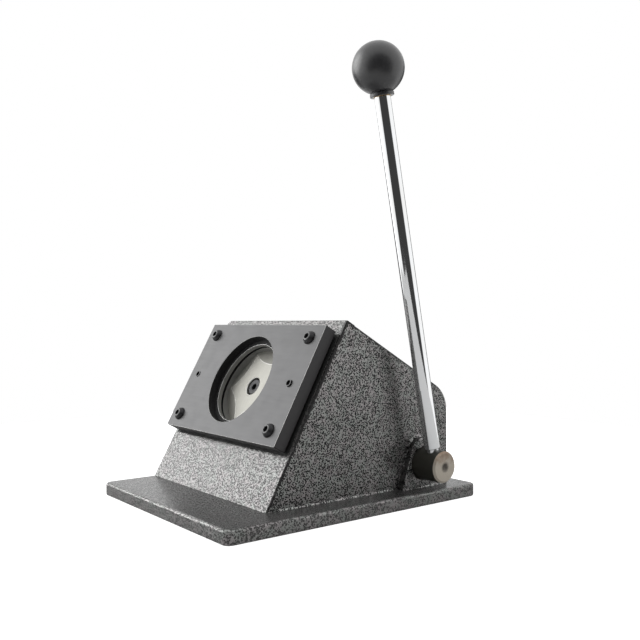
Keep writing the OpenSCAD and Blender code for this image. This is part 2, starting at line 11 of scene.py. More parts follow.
import bmesh
import bpy
from mathutils import Matrix, Vector
from mathutils.geometry import tessellate_polygon


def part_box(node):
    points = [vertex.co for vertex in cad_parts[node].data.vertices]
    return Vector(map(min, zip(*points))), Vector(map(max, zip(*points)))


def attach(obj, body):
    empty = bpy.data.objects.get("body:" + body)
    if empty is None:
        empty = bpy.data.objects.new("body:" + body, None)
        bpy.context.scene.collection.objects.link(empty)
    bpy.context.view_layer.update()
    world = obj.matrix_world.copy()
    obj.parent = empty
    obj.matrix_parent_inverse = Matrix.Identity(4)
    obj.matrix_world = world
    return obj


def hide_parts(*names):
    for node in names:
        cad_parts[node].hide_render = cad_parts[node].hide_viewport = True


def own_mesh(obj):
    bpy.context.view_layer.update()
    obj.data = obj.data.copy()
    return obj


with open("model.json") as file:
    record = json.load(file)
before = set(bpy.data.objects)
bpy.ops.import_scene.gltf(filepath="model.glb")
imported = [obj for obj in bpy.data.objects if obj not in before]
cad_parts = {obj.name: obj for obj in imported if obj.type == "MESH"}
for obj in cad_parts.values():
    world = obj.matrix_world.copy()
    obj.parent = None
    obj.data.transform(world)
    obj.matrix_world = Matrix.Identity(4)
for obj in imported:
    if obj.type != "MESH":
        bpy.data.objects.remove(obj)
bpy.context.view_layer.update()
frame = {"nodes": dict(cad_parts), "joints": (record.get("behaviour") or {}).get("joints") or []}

MM = 0.001
TAU = 2 * math.pi
CLEARANCE = 0.05 * MM

# Camera
CAMERA_PLACE = Vector((0.4960, -0.3601, 0.1365))
CAMERA_AZIMUTH = 51.76
CAMERA_PITCH = 0.26
CAMERA_LENS = 43.2
CAMERA_SENSOR = 36.0

# Studio
ROOM_LIGHT = 1.12
DARK_LEVEL = 0.05
DARK_AZIMUTH = 54.0
DARK_ELEVATION = -12.0
DARK_INNER = 52.0
DARK_OUTER = 62.0
FLAGS = ((-90.0, -8.0), (203.0, 4.0))
FLAG_LEVEL = 0.05
FLAG_INNER = 15.0
FLAG_OUTER = 21.0
KEY_AZIMUTH = -58.0
KEY_ELEVATION = 19.0
KEY_LEVEL = 3.2
KEY_INNER = 4.0
KEY_OUTER = 32.0
FLOOR_SIZE = 1.16
FLOOR_TONE = 0.76
FLOOR_TONE_MIRRORED = 0.52
FLOOR_GLOW = 0.05
FLOOR_GLOW_SEEN = 0.8

# Plates, and the ragged dark bands painted on them: shade and reflection along their corners, partly
# bare paint edge, and the painted shadow of the die plate
CORNER_ROUND = 0.9 * MM
SIDE_BAND = 1.9 * MM
ROOF_BAND = 1.7 * MM
FRONT_BAND_FOOT = 0.2 * MM
FRONT_BAND_TOP = 3.0 * MM
EDGE_RAGGED = 1.5 * MM
SHADOW_MARGIN = 1.7 * MM
SHADOW_DROP = 4.0 * MM
SHADOW_RAGGED = 0.9 * MM
ROOF_THICK = 4 * MM
ROOF_ROUND = 1.8 * MM
BUSH_SEAT = 15 * MM
CORNER_CUT = 5 * MM
BASE_CORNER = 6 * MM
BASE_EDGE = 2 * MM
BASE_FOOT_EDGE = 1.6 * MM
COVER_LIP = 12 * MM
COVER_GAP = 0.3 * MM
DIE_EDGE = 0.22 * MM
DIE_RELIEF = 37 * MM
DIE_RELIEF_DEPTH = 6.5 * MM
BEARING_EDGE = 0.8 * MM
BEND_OUTER = 24 * MM

# Window of the die plate and the punch behind it
LEDGE_EDGE = 0.18 * MM
SCALLOP_COUNT = 5
SCALLOP_TURN = 152
SCALLOP_RADIUS = 165 * MM
SCALLOP_TILT = 15
SCALLOP_START = 20.8 * MM
CREASE = 0.25 * MM
SCREW_SINK = 9 * MM
SINK_RADIUS = 7.47 * MM
PUNCH_BORE = 4.3 * MM
GUIDE_SPAN = 131 * MM
GUIDE_RADIUS = 2.1 * MM
GUIDE_RIM = 0.7 * MM
GUIDE_RISE = (0.4 * MM, 1.0 * MM)
HEAD_SHARE = 3.3 / 5.25
SCREW_HOLE = 3.3 * MM

# Lever
NECK_RADIUS = 4.6 * MM
THREAD_RADIUS = 4.9 * MM
THREAD_END = 11 * MM
ROD_FOOT = 14 * MM
ROD_EDGE = 0.35 * MM
COLLAR_HEIGHT = 2.7 * MM
COLLAR_RADIUS = 8.8 * MM
KNOB_BORE_DEPTH = 20 * MM
SHAFT_CHAMFER = 1.4 * MM
CENTRE_HOLE = 2.6 * MM
CENTRE_DEPTH = 1.6 * MM
CENTRE_DARK = 3.6 * MM

# Return springs
SPRING_WIRE = 1.0 * MM
SPRING_TURNS = 8.0
SPRING_CLOSED = 0.9

# Weld beads
BEARING_RADIUS = 12.5 * MM
WELD_START = 20
WELD_LEG = 3 * MM
# Angle along the bearing arc where the lighter weld paint, a painted highlight, gives way to the
# dark paint, a painted shade.
WELD_LIT_END = 142
FOOT_LEG = 2 * MM
WELD_RIPPLE = 2.2 * MM
WELD_STEPS = 7


# ---------------------------------------------------------------- directions and places

def joint(name):
    return next(j for j in frame["joints"] if j["name"] == name)


RIGHT = Vector((1, 0, 0))
OUT = Vector(joint("punch_slide")["axis"]).normalized()
UP_SLOPE = OUT.cross(RIGHT)
WINDOW = Vector(joint("punch_slide")["pos_m"])
SHAFT = Vector(joint("lever_turn")["pos_m"])


def place(origin, x, y, z):
    """Matrix of a local frame with the given origin and axes."""
    columns = Matrix((x, y, z)).transposed().to_4x4()
    columns.translation = origin
    return columns


FACE = place(WINDOW, RIGHT, UP_SLOPE, OUT)
ALONG_X = place(Vector((0, SHAFT.y, SHAFT.z)), Vector((0, 1, 0)), Vector((0, 0, 1)), RIGHT)
UPRIGHT = Matrix.Identity(4)


def span(node, local=UPRIGHT):
    """Lowest and highest corner of a CAD node in a local frame."""
    inverse = local.inverted()
    points = [inverse @ v.co for v in frame["nodes"][node].data.vertices]
    low = Vector(min(p[i] for p in points) for i in range(3))
    high = Vector(max(p[i] for p in points) for i in range(3))
    return low, high


def islands(node, local=UPRIGHT):
    """Lowest and highest corners of each separate solid of a CAD node, in a local frame."""
    bm = bmesh.new()
    bm.from_mesh(frame["nodes"][node].data)
    bmesh.ops.remove_doubles(bm, verts=bm.verts, dist=1e-6)
    inverse = local.inverted()
    seen = set()
    found = []
    for start in bm.verts:
        if start in seen:
            continue
        group = [start]
        seen.add(start)
        for v in group:
            for edge in v.link_edges:
                other = edge.other_vert(v)
                if other not in seen:
                    seen.add(other)
                    group.append(other)
        points = [inverse @ v.co for v in group]
        low = Vector(min(p[i] for p in points) for i in range(3))
        high = Vector(max(p[i] for p in points) for i in range(3))
        found.append((low, high))
    bm.free()
    return sorted(found, key=lambda box: (round(box[0].x, 5), round(box[0].y, 5)))


# ---------------------------------------------------------------- camera, light and floor

def add_camera():
    data = bpy.data.cameras.new("camera")
    data.sensor_width = CAMERA_SENSOR
    data.lens = CAMERA_LENS
    data.clip_start = 0.01
    data.clip_end = 50
    camera = bpy.data.objects.new("camera", data)
    camera.location = CAMERA_PLACE
    turn = (math.radians(90 + CAMERA_PITCH), 0, math.radians(CAMERA_AZIMUTH))
    camera.rotation_euler = turn
    bpy.context.scene.collection.objects.link(camera)
    bpy.context.scene.camera = camera


def heading(azimuth, elevation):
    """Unit vector towards a point of the room, with azimuth 0 in front of the object."""
    a = math.radians(azimuth)
    e = math.radians(elevation)
    return Vector((math.sin(a) * math.cos(e), -math.cos(a) * math.cos(e), math.sin(e)))


def add_room():
    """White room: a dark zone behind the camera, two black flags and a large soft light."""
    world = bpy.data.worlds.new("room")
    bpy.context.scene.world = world
    world.use_nodes = True
    tree = world.node_tree
    tree.nodes.clear()
    direction = node(tree, "TexCoord").outputs["Generated"]

    def patch(centre, inner, outer):
        dot = node(tree, "VectorMath", {0: direction, 1: centre}, operation="DOT_PRODUCT")
        low = math.cos(math.radians(outer))
        high = math.cos(math.radians(inner))
        return remap(tree, dot.outputs["Value"], low, high, 0, 1, smooth=True)

    dark = patch(heading(DARK_AZIMUTH, DARK_ELEVATION), DARK_INNER, DARK_OUTER)
    key = patch(heading(KEY_AZIMUTH, KEY_ELEVATION), KEY_INNER, KEY_OUTER)
    level = math_(tree, "MULTIPLY_ADD", dark, DARK_LEVEL - ROOM_LIGHT, ROOM_LIGHT)
    for flag_place in FLAGS:
        flag = patch(heading(*flag_place), FLAG_INNER, FLAG_OUTER)
        level = math_(tree, "MULTIPLY_ADD", flag, FLAG_LEVEL - ROOM_LIGHT, level)
    level = math_(tree, "MULTIPLY_ADD", key, KEY_LEVEL, level)
    seen = node(tree, "LightPath").outputs["Is Camera Ray"]
    shown = node(tree, "Mix", {0: seen, 2: level, 3: 1.0}, data_type="FLOAT").outputs[0]
    walls = node(tree, "Background", {"Color": (1, 1, 1, 1), "Strength": shown})
    node(tree, "OutputWorld", {"Surface": walls.outputs[0]})


def add_floor():
    mesh = bpy.data.meshes.new("floor")
    half = FLOOR_SIZE / 2
    corners = [(-half, -half, 0), (half, -half, 0), (half, half, 0), (-half, half, 0)]
    mesh.from_pydata(corners, [], [(0, 1, 2, 3)])
    floor = bpy.data.objects.new("floor", mesh)
    bpy.context.scene.collection.objects.link(floor)
    material = bpy.data.materials.new("pale_floor")
    material.use_nodes = True
    tree = material.node_tree
    tree.nodes.clear()
    rays = node(tree, "LightPath").outputs
    tone = blend(tree, rays["Is Glossy Ray"], grey(FLOOR_TONE), grey(FLOOR_TONE_MIRRORED))
    white = node(tree, "BsdfDiffuse", {"Color": tone})
    seen = rays["Is Camera Ray"]
    strength = remap(tree, seen, 0, 1, FLOOR_GLOW, FLOOR_GLOW_SEEN)
    glow = node(tree, "Emission", {"Color": (1, 1, 1, 1), "Strength": strength})
    both = node(tree, "AddShader", {0: white.outputs[0], 1: glow.outputs[0]})
    node(tree, "OutputMaterial", {"Surface": both.outputs[0]})
    mesh.materials.append(material)


# ---------------------------------------------------------------- shader helpers

def put(tree, socket, value):
    """A number, vector or colour is set on the socket; another node's output is linked to it."""
    if isinstance(value, bpy.types.NodeSocket):
        tree.links.new(value, socket)
    else:
        socket.default_value = value


def node(tree, kind, inputs=None, **settings):
    made = tree.nodes.new("ShaderNode" + kind)
    for key, value in settings.items():
        setattr(made, key, value)
    for key, value in (inputs or {}).items():
        put(tree, made.inputs[key], value)
    return made


def math_(tree, operation, *values):
    inputs = dict(enumerate(values))
    return node(tree, "Math", inputs, operation=operation).outputs[0]


def remap(tree, value, low, high, to_low, to_high, smooth=False):
    kind = "SMOOTHSTEP" if smooth else "LINEAR"
    inputs = {0: value, 1: low, 2: high, 3: to_low, 4: to_high}
    return node(tree, "MapRange", inputs, interpolation_type=kind, clamp=True).outputs[0]


def blend(tree, share, a, b):
    """Colour a where share is 0 and b where it is 1."""
    inputs = {0: share, 6: a, 7: b}
    return node(tree, "Mix", inputs, data_type="RGBA").outputs[2]


def grey(level, tint=(1, 1, 1)):
    return (level * tint[0], level * tint[1], level * tint[2], 1)


def stretched(tree, scale, turn=(0, 0, 0)):
    """Object coordinates, turned and then scaled, so that one unit is one feature."""
    source = node(tree, "TexCoord").outputs["Object"]
    turned = node(tree, "Mapping", {"Vector": source, "Rotation": turn}).outputs[0]
    return node(tree, "Mapping", {"Vector": turned, "Scale": scale}).outputs[0]


def noise(tree, size, detail=2.0, rough=0.5, vector=None):
    """Noise from 0 to 1 with features of the given size."""
    if vector is None:
        vector = node(tree, "TexCoord").outputs["Object"]
    inputs = {"Vector": vector, "Scale": 1 / size, "Detail": detail, "Roughness": rough}
    return node(tree, "TexNoise", inputs).outputs[0]


def bump(tree, height, depth, under=None):
    inputs = {"Height": height, "Distance": depth, "Strength": 1.0}
    if under is not None:
        inputs["Normal"] = under
    return node(tree, "Bump", inputs).outputs[0]


def finish_material(name, build, **constants):
    """A material with one principled shader. build returns the inputs that vary over the surface."""
    material = bpy.data.materials.new(name)
    material.use_nodes = True
    tree = material.node_tree
    tree.nodes.clear()
    inputs = {key.replace("_", " "): value for key, value in constants.items()}
    inputs.update(build(tree))
    shader = node(tree, "BsdfPrincipled", inputs)
    node(tree, "OutputMaterial", {"Surface": shader.outputs[0]})
    return material


# ---------------------------------------------------------------- materials

def hammertone(name, tone, dot_tone, dot_share, gloss, cell=1.2 * MM, bare=None, dent=1.0,
               blur=0.08):
    """Hammertone paint: metallic grey that has drawn back into small dark pits under the gloss.

    bare(tree, source) gives the share of near-black colour along an edge: painted shade and
    reflection, partly paint drawn back from the edge.
    """

    def build(tree):
        source = node(tree, "TexCoord").outputs["Object"]
        cells = node(tree, "TexVoronoi", {
            "Vector": source, "Scale": 1 / cell, "Randomness": 0.95,
        })
        size = node(tree, "SeparateColor", {0: cells.outputs["Color"]}).outputs[0]
        reach = remap(tree, size, 0, 1, 0.5, 0.72)
        wobble = noise(tree, cell * 0.5, 2)
        ragged = math_(tree, "MULTIPLY_ADD", wobble, 0.5, cells.outputs["Distance"])
        edge = math_(tree, "SUBTRACT", ragged, reach)
        pit = remap(tree, edge, 0.12, 0.2, 1, 0, smooth=True)
        level = remap(tree, noise(tree, 0.6 * MM, 3, 0.7), 0.3, 0.72, 0, 1)
        tint = remap(tree, noise(tree, 7 * MM, 3), 0.38, 0.62, 0.0, 1.0)
        warm = blend(tree, tint, grey(tone, (0.94, 1, 0.93)), grey(tone, (1.08, 0.98, 0.98)))
        paint = blend(tree, level, grey(tone * 0.55), warm)
        share = math_(tree, "MULTIPLY", pit, dot_share)
        # The edge bands paint shade and reflection near black along the corners, partly over paint
        # drawn back from the edge.
        if bare is not None:
            share = math_(tree, "MAXIMUM", share, bare(tree, source))
        colour = blend(tree, share, paint, grey(dot_tone))
        flat = math_(tree, "SUBTRACT", 1.0, pit)
        dented = bump(tree, flat, dent * 0.05 * MM)
        skin = bump(tree, noise(tree, 1.3 * MM, 2), dent * 0.02 * MM, dented)
        rough = remap(tree, pit, 0, 1, 0.27, 0.5)
        metal = remap(tree, share, 0, 1, 0.55, 0.0)
        return {"Base Color": colour, "Roughness": rough, "Normal": skin, "Metallic": metal}

    return finish_material(
        name, build, Specular_IOR_Level=0.12, Coat_Weight=gloss, Coat_Roughness=blur,
        Coat_IOR=1.5,
    )


def along(tree, source, direction):
    dot = node(tree, "VectorMath", {0: source, 1: direction}, operation="DOT_PRODUCT")
    return dot.outputs["Value"]


def torn(tree, away, limit):
    """Near 1 up to the limit and 0 past it, with a ragged edge."""
    ragged = math_(tree, "MULTIPLY_ADD", noise(tree, EDGE_RAGGED, 2), 3 * EDGE_RAGGED, away)
    past = limit + 1.5 * EDGE_RAGGED
    return remap(tree, ragged, past - 0.2 * MM, past + 0.2 * MM, 0.95, 0)


def bare_and_shade_side(tree, source):
    """Ragged dark bands on the side panels, along the front edge and the roof edge: painted shade
    and reflection at the corners, partly bare paint edge.
    """
    face = math_(tree, "SUBTRACT", WINDOW.dot(OUT), along(tree, source, OUT))
    roof_at = WINDOW.dot(UP_SLOPE) + span("front_plate", FACE)[1].y
    roof = math_(tree, "SUBTRACT", roof_at, along(tree, source, UP_SLOPE))
    low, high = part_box("front_plate")
    middle = (low.x + high.x) / 2
    off_middle = math_(tree, "SUBTRACT", along(tree, source, RIGHT), middle)
    width = math_(tree, "ABSOLUTE", off_middle)
    inward = math_(tree, "SUBTRACT", high.x - middle, width)
    roof = math_(tree, "MAXIMUM", roof, inward)
    face = math_(tree, "MAXIMUM", face, inward)
    return math_(tree, "MAXIMUM", torn(tree, face, SIDE_BAND), torn(tree, roof, ROOF_BAND))


def bare_and_shade_front(tree, source):
    """Ragged dark band on the front plate, along its right edge and wider towards the top: painted
    shade and reflection beside the die plate and the corner, partly bare paint edge.
    """
    right = math_(tree, "SUBTRACT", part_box("front_plate")[1].x, along(tree, source, RIGHT))
    up = math_(tree, "SUBTRACT", along(tree, source, UP_SLOPE), WINDOW.dot(UP_SLOPE))
    reach = span("front_plate", FACE)[1].y
    narrowing = remap(tree, up, -reach, reach, 0, FRONT_BAND_TOP - FRONT_BAND_FOOT)
    away = math_(tree, "SUBTRACT", right, narrowing)
    return torn(tree, away, FRONT_BAND_FOOT)


def steel(name, tone, rough, grain, depth=0.01 * MM, metallic=1.0, patch=0.15, turn=(0, 0, 0)):
    """Machined metal: fine lines of the given grain (three sizes), over faint cloudy patches."""

    def build(tree):
        scale = tuple(1 / size for size in grain)
        lines = noise(tree, 1, 3, 0.6, stretched(tree, scale, turn))
        cloud = noise(tree, 12 * MM, 3, 0.6)
        mixed = math_(tree, "MULTIPLY_ADD", lines, 0.6, math_(tree, "MULTIPLY", cloud, 0.4))
        dark = grey(1 - patch, tone)
        light = grey(1 + patch, tone)
        share = remap(tree, mixed, 0.3, 0.7, 0, 1)
        colour = blend(tree, share, dark, light)
        roughness = remap(tree, mixed, 0.3, 0.7, rough * 0.8, rough * 1.25)
        return {
            "Base Color": colour,
            "Roughness": roughness,
            "Normal": bump(tree, lines, depth),
        }

    return finish_material(name, build, Metallic=metallic)


def chrome():
    def build(tree):
        haze = noise(tree, 30 * MM, 4, 0.6)
        ripple = noise(tree, 14 * MM, 2)
        tone = remap(tree, haze, 0.3, 0.7, 0, 1)
        colour = blend(tree, tone, grey(0.8, (1, 1.0, 0.99)), grey(0.86, (0.98, 1, 1.02)))
        rough = remap(tree, haze, 0.35, 0.75, 0.035, 0.09)
        return {"Base Color": colour, "Roughness": rough, "Normal": bump(tree, ripple, 0.01 * MM)}

    return finish_material("chrome_plate", build, Metallic=1.0)


def phenolic():
    """Black moulded knob with a soft sheen and fine rub marks."""

    def build(tree):
        fine = noise(tree, 0.5 * MM, 3, 0.6)
        cloud = noise(tree, 11 * MM, 3)
        rub = noise(tree, 1, 3, 0.6, stretched(tree, (1 / (9 * MM), 1 / (0.7 * MM), 1 / (9 * MM))))
        colour = blend(tree, cloud, grey(0.018, (0.97, 1, 1.05)), grey(0.026, (1, 0.98, 1.06)))
        worn = math_(tree, "MULTIPLY_ADD", rub, 0.4, math_(tree, "MULTIPLY", cloud, 0.6))
        rough = remap(tree, worn, 0.3, 0.7, 0.34, 0.46)
        return {"Base Color": colour, "Roughness": rough, "Normal": bump(tree, fine, 0.006 * MM)}

    return finish_material(
        "black_phenolic", build, Metallic=0.0, Specular_IOR_Level=0.65, Coat_Weight=0.35,
        Coat_Roughness=0.27,
    )


def shaft_end_steel():
    """Turned end face of the shaft: bare steel with turning rings and a rusty tinge at its rim."""

    def build(tree):
        source = node(tree, "TexCoord").outputs["Object"]
        shifted = node(tree, "Mapping", {"Vector": source, "Location": (0, -SHAFT.y, -SHAFT.z)})
        axes = node(tree, "SeparateXYZ", {0: shifted.outputs[0]})
        across = node(tree, "CombineXYZ", {1: axes.outputs[1], 2: axes.outputs[2]})
        radius = node(tree, "VectorMath", {0: across.outputs[0]}, operation="LENGTH")
        rings = noise(tree, 0.35 * MM, 2, 0.5, radius.outputs["Value"])
        cloud = noise(tree, 5 * MM, 3, 0.65)
        rise = math_(tree, "MULTIPLY_ADD", cloud, 14 * MM, axes.outputs[2])
        rust = remap(tree, rise, 8 * MM, 18 * MM, 0, 0.7, smooth=True)
        bare = blend(tree, rings, (0.34, 0.31, 0.26, 1), (0.55, 0.5, 0.43, 1))
        rusty = blend(tree, rust, bare, (0.2, 0.12, 0.07, 1))
        # The disc about the centre hole is darker.
        spread = math_(tree, "MULTIPLY_ADD", cloud, 4 * MM, radius.outputs["Value"])
        mark = remap(tree, spread, CENTRE_DARK + 1 * MM, CENTRE_DARK + 3 * MM, 0.75, 0)
        colour = blend(tree, mark, rusty, (0.06, 0.055, 0.05, 1))
        rough = remap(tree, cloud, 0.3, 0.7, 0.42, 0.6)
        return {"Base Color": colour, "Roughness": rough, "Normal": bump(tree, rings, 0.02 * MM)}

    return finish_material("shaft_end_steel", build, Metallic=0.75)


def fine(x, y, z):
    return (x * MM, y * MM, z * MM)


def make_materials():
    slope = (-math.acos(OUT.z), 0, 0)
    return {
        # Side and front paints carry ragged dark corner bands: painted shade and reflection, partly
        # bare paint edge.
        "paint_side": hammertone("hammertone_side", 0.38, 0.003, 0.99, 0.3, 1.25 * MM, bare_and_shade_side),
        "paint_front": hammertone("hammertone_front", 0.25, 0.01, 0.85, 0.35, 1.15 * MM,
                                  bare_and_shade_front, 0.15),
        # Dark copy of the side paint for the bearing block's flank and the welds beside it: painted
        # shade.
        "paint_shaded": hammertone("hammertone_shaded", 0.12, 0.004, 1.0, 0.3, 1.7 * MM),
        "paint_base": hammertone("hammertone_base", 0.33, 0.006, 0.85, 0.35, 1.2 * MM),
        # Darker copy of the base paint for the base plate's top face: painted shade and reflection.
        "paint_base_top_shade": hammertone("hammertone_shaded_base_top", 0.11, 0.02, 0.6, 0.6, blur=0.26),
        # Lighter, glossier copy of the paint for the upper weld arc: painted highlight.
        "paint_lit_weld": hammertone("hammertone_lit_weld", 0.5, 0.004, 1.0, 1.0, 1.3 * MM),
        # Near-black skin on the front plate: the painted shadow of the die plate and its gap.
        "seat": steel("front_plate_painted_shadow", (0.008, 0.009, 0.0085), 0.8, fine(1, 1, 1),
                      metallic=0.0),
        "die_face": steel("die_steel_face", (0.08, 0.08, 0.081), 0.42, fine(30, 0.35, 30),
                          0.004 * MM, turn=slope),
        "die_black": steel("die_steel_blacked", (0.055, 0.054, 0.055), 0.5, fine(3, 3, 3),
                           metallic=0.7),
        # Near-black for the relief's ledge and wall and the sides of the guide rims: painted shade
        # in the recess.
        "ledge_painted_shade": steel("die_recess_painted_shade", (0.006, 0.006, 0.006), 0.75, fine(1, 1, 1),
                           metallic=0.0),
        "die_bore": steel("die_steel_bore", (0.3, 0.3, 0.29), 0.4, fine(2, 0.5, 0.5),
                          metallic=0.6),
        "die_rim": steel("die_steel_rim", (0.45, 0.45, 0.44), 0.4, fine(2, 2, 2), metallic=0.4),
        "cutting_edge": steel("die_cutting_edge", (0.85, 0.85, 0.83), 0.3, fine(2, 2, 2),
                              metallic=0.3),
        "punch_face": steel("ground_steel", (0.32, 0.315, 0.285), 0.46, fine(0.5, 9, 9),
                            metallic=0.6, patch=0.22),
        "black_oxide": steel("black_oxide", (0.035, 0.035, 0.037), 0.42, fine(1, 1, 1),
                             metallic=0.6),
        "worn_oxide": steel("black_oxide_worn", (0.14, 0.14, 0.14), 0.35, fine(1, 1, 1)),
        "bright": steel("bright_steel", (0.5, 0.5, 0.5), 0.28, fine(0.4, 8, 8)),
        "zinc": steel("zinc_steel", (0.52, 0.53, 0.55), 0.32, fine(2, 2, 2)),
        "bronze": steel("bronze_bush", (0.5, 0.33, 0.15), 0.3, fine(0.5, 3, 3)),
        "brass": steel("brass_insert", (0.6, 0.42, 0.16), 0.28, fine(3, 3, 0.4)),
        "spring": steel("spring_steel", (0.36, 0.36, 0.37), 0.3, fine(4, 4, 4)),
        "shaft": steel("blacked_shaft", (0.055, 0.054, 0.045), 0.38, fine(0.4, 6, 6),
                       metallic=0.6),
        "shaft_end": shaft_end_steel(),
        "chrome": chrome(),
        "knob": phenolic(),
    }


# ---------------------------------------------------------------- outlines and meshes

def soften(points, steps=5):
    """Closed outline. A point (x, y, radius) has its corner rounded with an arc."""
    made = []
    for i, point in enumerate(points):
        corner = Vector(point[:2])
        radius = point[2] if len(point) > 2 else 0
        if radius == 0:
            made.append(corner)
            continue
        before = (Vector(points[i - 1][:2]) - corner).normalized()
        after = (Vector(points[(i + 1) % len(points)][:2]) - corner).normalized()
        half = before.angle(after) / 2
        centre = corner + (before + after).normalized() * radius / math.sin(half)
        start = corner + before * radius / math.tan(half) - centre
        end = corner + after * radius / math.tan(half) - centre
        sweep = start.angle(end)
        for k in range(steps + 1):
            share = k / steps
            mixed = math.sin((1 - share) * sweep) * start + math.sin(share * sweep) * end
            made.append(centre + mixed / math.sin(sweep))
    return made


def disc(radius, x=0.0, y=0.0, steps=96):
    """Points round a circle, clockwise as a hole needs."""
    angles = [-TAU * i / steps for i in range(steps)]
    return [Vector((x + radius * math.cos(a), y + radius * math.sin(a))) for a in angles]


def inset(points, distance):
    """The outline moved into the material, which is on its left."""
    made = []
    for i, point in enumerate(points):
        into = (point - points[i - 1]).normalized()
        away = (points[(i + 1) % len(points)] - point).normalized()
        n1 = Vector((-into.y, into.x))
        n2 = Vector((-away.y, away.x))
        made.append(point + (n1 + n2) * distance / (1 + n1.dot(n2)))
    return made


def rounded_ends(back, front, back_r, front_r, steps=3):
    """Profile of (inset, height) for a wall from back to front with rounded edges."""
    made = []
    for i in range(steps + 1 if back_r else 1):
        a = TAU / 4 * i / steps if back_r else 0
        made.append((back_r * (1 - math.sin(a)), back + back_r * (1 - math.cos(a))))
    for i in range(steps + 1 if front_r else 1):
        a = TAU / 4 * i / steps if front_r else 0
        made.append((front_r * (1 - math.cos(a)), front - front_r * (1 - math.sin(a))))
    return made


def bridge(bm, low, high, mark=0):
    count = len(low)
    for i in range(count):
        k = (i + 1) % count
        face = bm.faces.new((low[i], low[k], high[k], high[i]))
        face.material_index = mark


def cap(bm, rings, flip, mark=0):
    """Fills the flat area between an outer ring and any holes."""
    verts = [v for ring in rings for v in ring]
    for triangle in tessellate_polygon([[v.co for v in ring] for ring in rings]):
        corners = [verts[i] for i in triangle]
        if flip:
            corners.reverse()
        if len(set(corners)) == 3 and bm.faces.get(corners) is None:
            bm.faces.new(corners).material_index = mark


def plate(bm, loops, local, marks=(0, 0)):
    """A plate with holes. Each loop is (points, profile[, wall mark]); the outline comes first."""
    ends = ([], [])
    for loop in loops:
        points, profile = loop[0], loop[1]
        wall_mark = loop[2] if len(loop) > 2 else (lambda step: marks[0])
        rings = []
        for distance, height in profile:
            moved = inset(points, distance)
            rings.append([bm.verts.new(local @ Vector((p.x, p.y, height))) for p in moved])
        for step in range(len(rings) - 1):
            bridge(bm, rings[step], rings[step + 1], wall_mark(step))
        ends[0].append(rings[0])
        ends[1].append(rings[-1])
    cap(bm, ends[0], True, marks[0])
    cap(bm, ends[1], False, marks[1])


def turn(bm, profile, local, steps=96, marks=None):
    """Turns a profile of (radius, height) about the local Z axis.

    The profile may be a function of the angle, for a shape that isn't round all the way.
    """
    columns = []
    for i in range(steps):
        a = TAU * i / steps
        points = profile(a) if callable(profile) else profile
        columns.append([
            bm.verts.new(local @ Vector((r * math.cos(a), r * math.sin(a), h)))
            for r, h in points
        ])
    for i in range(steps):
        here = columns[i]
        there = columns[(i + 1) % steps]
        for k in range(len(here) - 1):
            face = bm.faces.new((here[k], there[k], there[k + 1], here[k + 1]))
            face.material_index = marks(k) if marks else 0


def tube(bm, points, radius, sides=12):
    """A round wire along a path, with flat ends."""
    rings = []
    side = Vector((0.123, 0.456, 0.882)).normalized()
    for i, point in enumerate(points):
        ahead = points[min(i + 1, len(points) - 1)] - points[max(i - 1, 0)]
        ahead.normalize()
        side = (side - ahead * side.dot(ahead)).normalized()
        other = ahead.cross(side)
        rings.append([
            bm.verts.new(point + radius * (math.cos(a) * side + math.sin(a) * other))
            for a in (TAU * k / sides for k in range(sides))
        ])
    for low, high in zip(rings, rings[1:]):
        bridge(bm, low, high)
    bm.faces.new(list(reversed(rings[0])))
    bm.faces.new(rings[-1])


def piece(name, bm, body, materials, replaced=(), sharp=34):
    """Makes the finished object from a bmesh: closed, smooth where it is round, and riding."""
    bmesh.ops.remove_doubles(bm, verts=bm.verts, dist=2e-7)
    bmesh.ops.dissolve_degenerate(bm, edges=bm.edges, dist=1e-7)
    bmesh.ops.recalc_face_normals(bm, faces=bm.faces)
    limit = math.radians(sharp)
    for face in bm.faces:
        face.smooth = True
    for edge in bm.edges:
        edge.smooth = len(edge.link_faces) == 2 and edge.calc_face_angle() < limit
    mesh = bpy.data.meshes.new(name)
    bm.to_mesh(mesh)
    bm.free()
    for material in materials:
        mesh.materials.append(LOOKS[material])
    made = bpy.data.objects.new(name, mesh)
    bpy.context.scene.collection.objects.link(made)
    weighted = made.modifiers.new("even_shading", "WEIGHTED_NORMAL")
    weighted.keep_sharp = True
    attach(made, body)
    if replaced:
        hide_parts(*replaced)
    return made


# ---------------------------------------------------------------- base and body

def build_base():
    low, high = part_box("base_plate")
    half = (high - low) / 2
    outline = soften([
        (-half.x, -half.y, BASE_CORNER),
        (half.x, -half.y, BASE_CORNER),
        (half.x, half.y, BASE_CORNER),
        (-half.x, half.y, BASE_CORNER),
    ], 10)
    cover_low, cover_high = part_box("bottom_cover")
    lip = COVER_LIP
    x0, x1 = cover_low.x - COVER_GAP + lip, cover_high.x + COVER_GAP - lip
    y0, y1 = cover_low.y - COVER_GAP + lip, cover_high.y + COVER_GAP - lip
    opening = [Vector((x0, y0)), Vector((x0, y1)), Vector((x1, y1)), Vector((x1, y0))]
    seat = cover_high.z
    walls = [(lip, 0), (lip, seat), (0, seat), (0, high.z)]
    bm = bmesh.new()
    plate(bm, [
        (outline, rounded_ends(0, high.z, BASE_FOOT_EDGE, BASE_EDGE, 6)),
        (opening, walls),
    ], UPRIGHT, marks=(0, 1))
    # The top face takes the darker copy of the paint, as painted shade and reflection.
    piece("base_slab", bm, "frame", ["paint_base", "paint_base_top_shade"],
          ["base_plate"])


